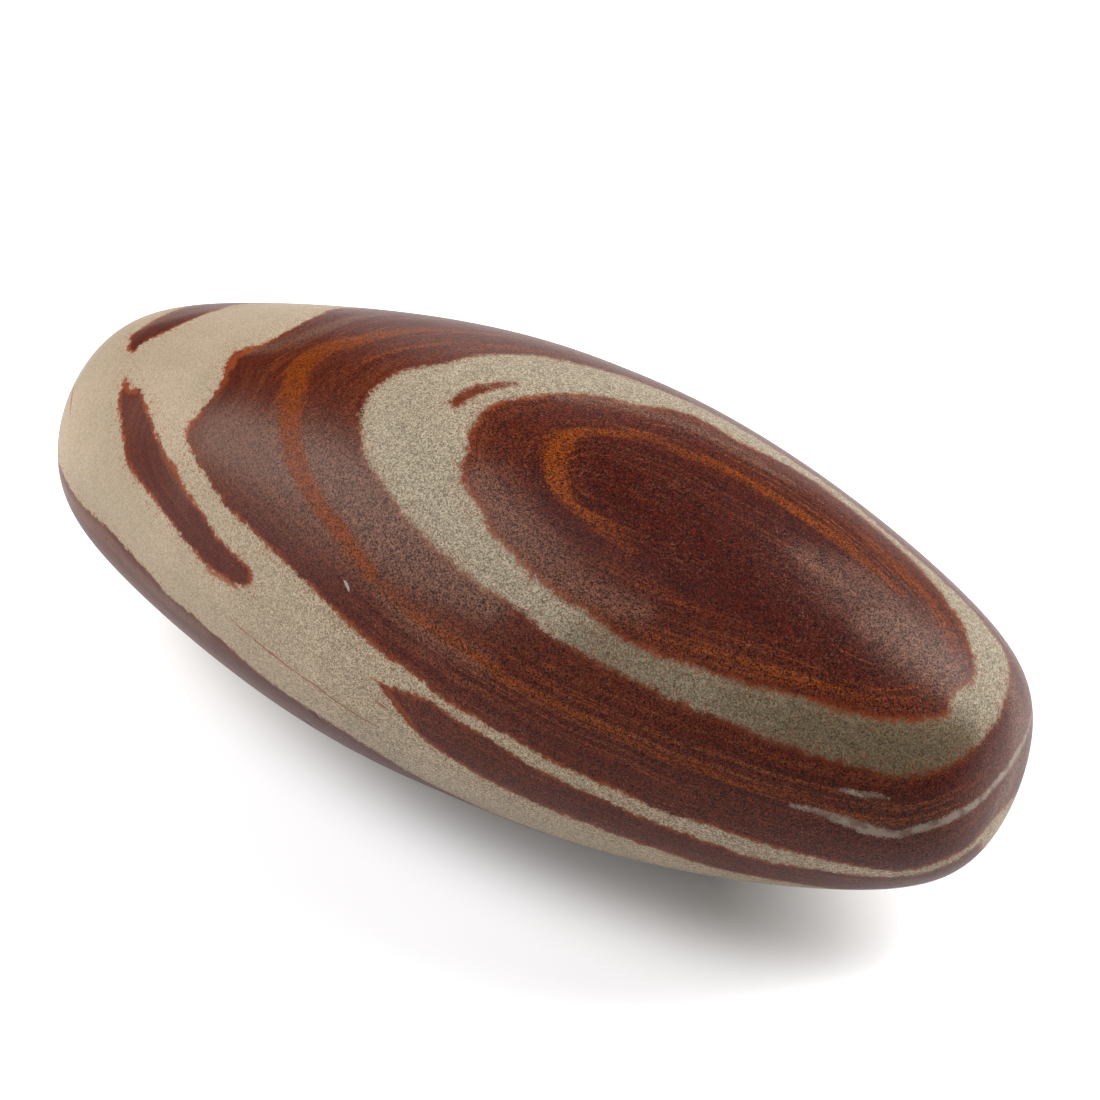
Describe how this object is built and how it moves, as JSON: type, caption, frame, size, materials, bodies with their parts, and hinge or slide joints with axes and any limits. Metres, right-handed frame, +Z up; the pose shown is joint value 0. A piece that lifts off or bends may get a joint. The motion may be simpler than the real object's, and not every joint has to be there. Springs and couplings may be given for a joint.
{
  "type": "shiva lingam stone",
  "caption": "Smooth oval river stone with blunt rounded ends, banded in red-brown and grey-green, that rests on its side as a keepsake or altar stone.",
  "frame": {"origin": "on the surface the stone rests on, under the middle of its bounding box", "axes": "+X along the stone towards its fuller end, +Z up"},
  "size_m": [0.1402, 0.0608, 0.0585],
  "materials": {
    "banded_stone": "satin"
  },
  "bodies": {
    "root": {"stone": "banded_stone"}
  },
  "joints": []
}
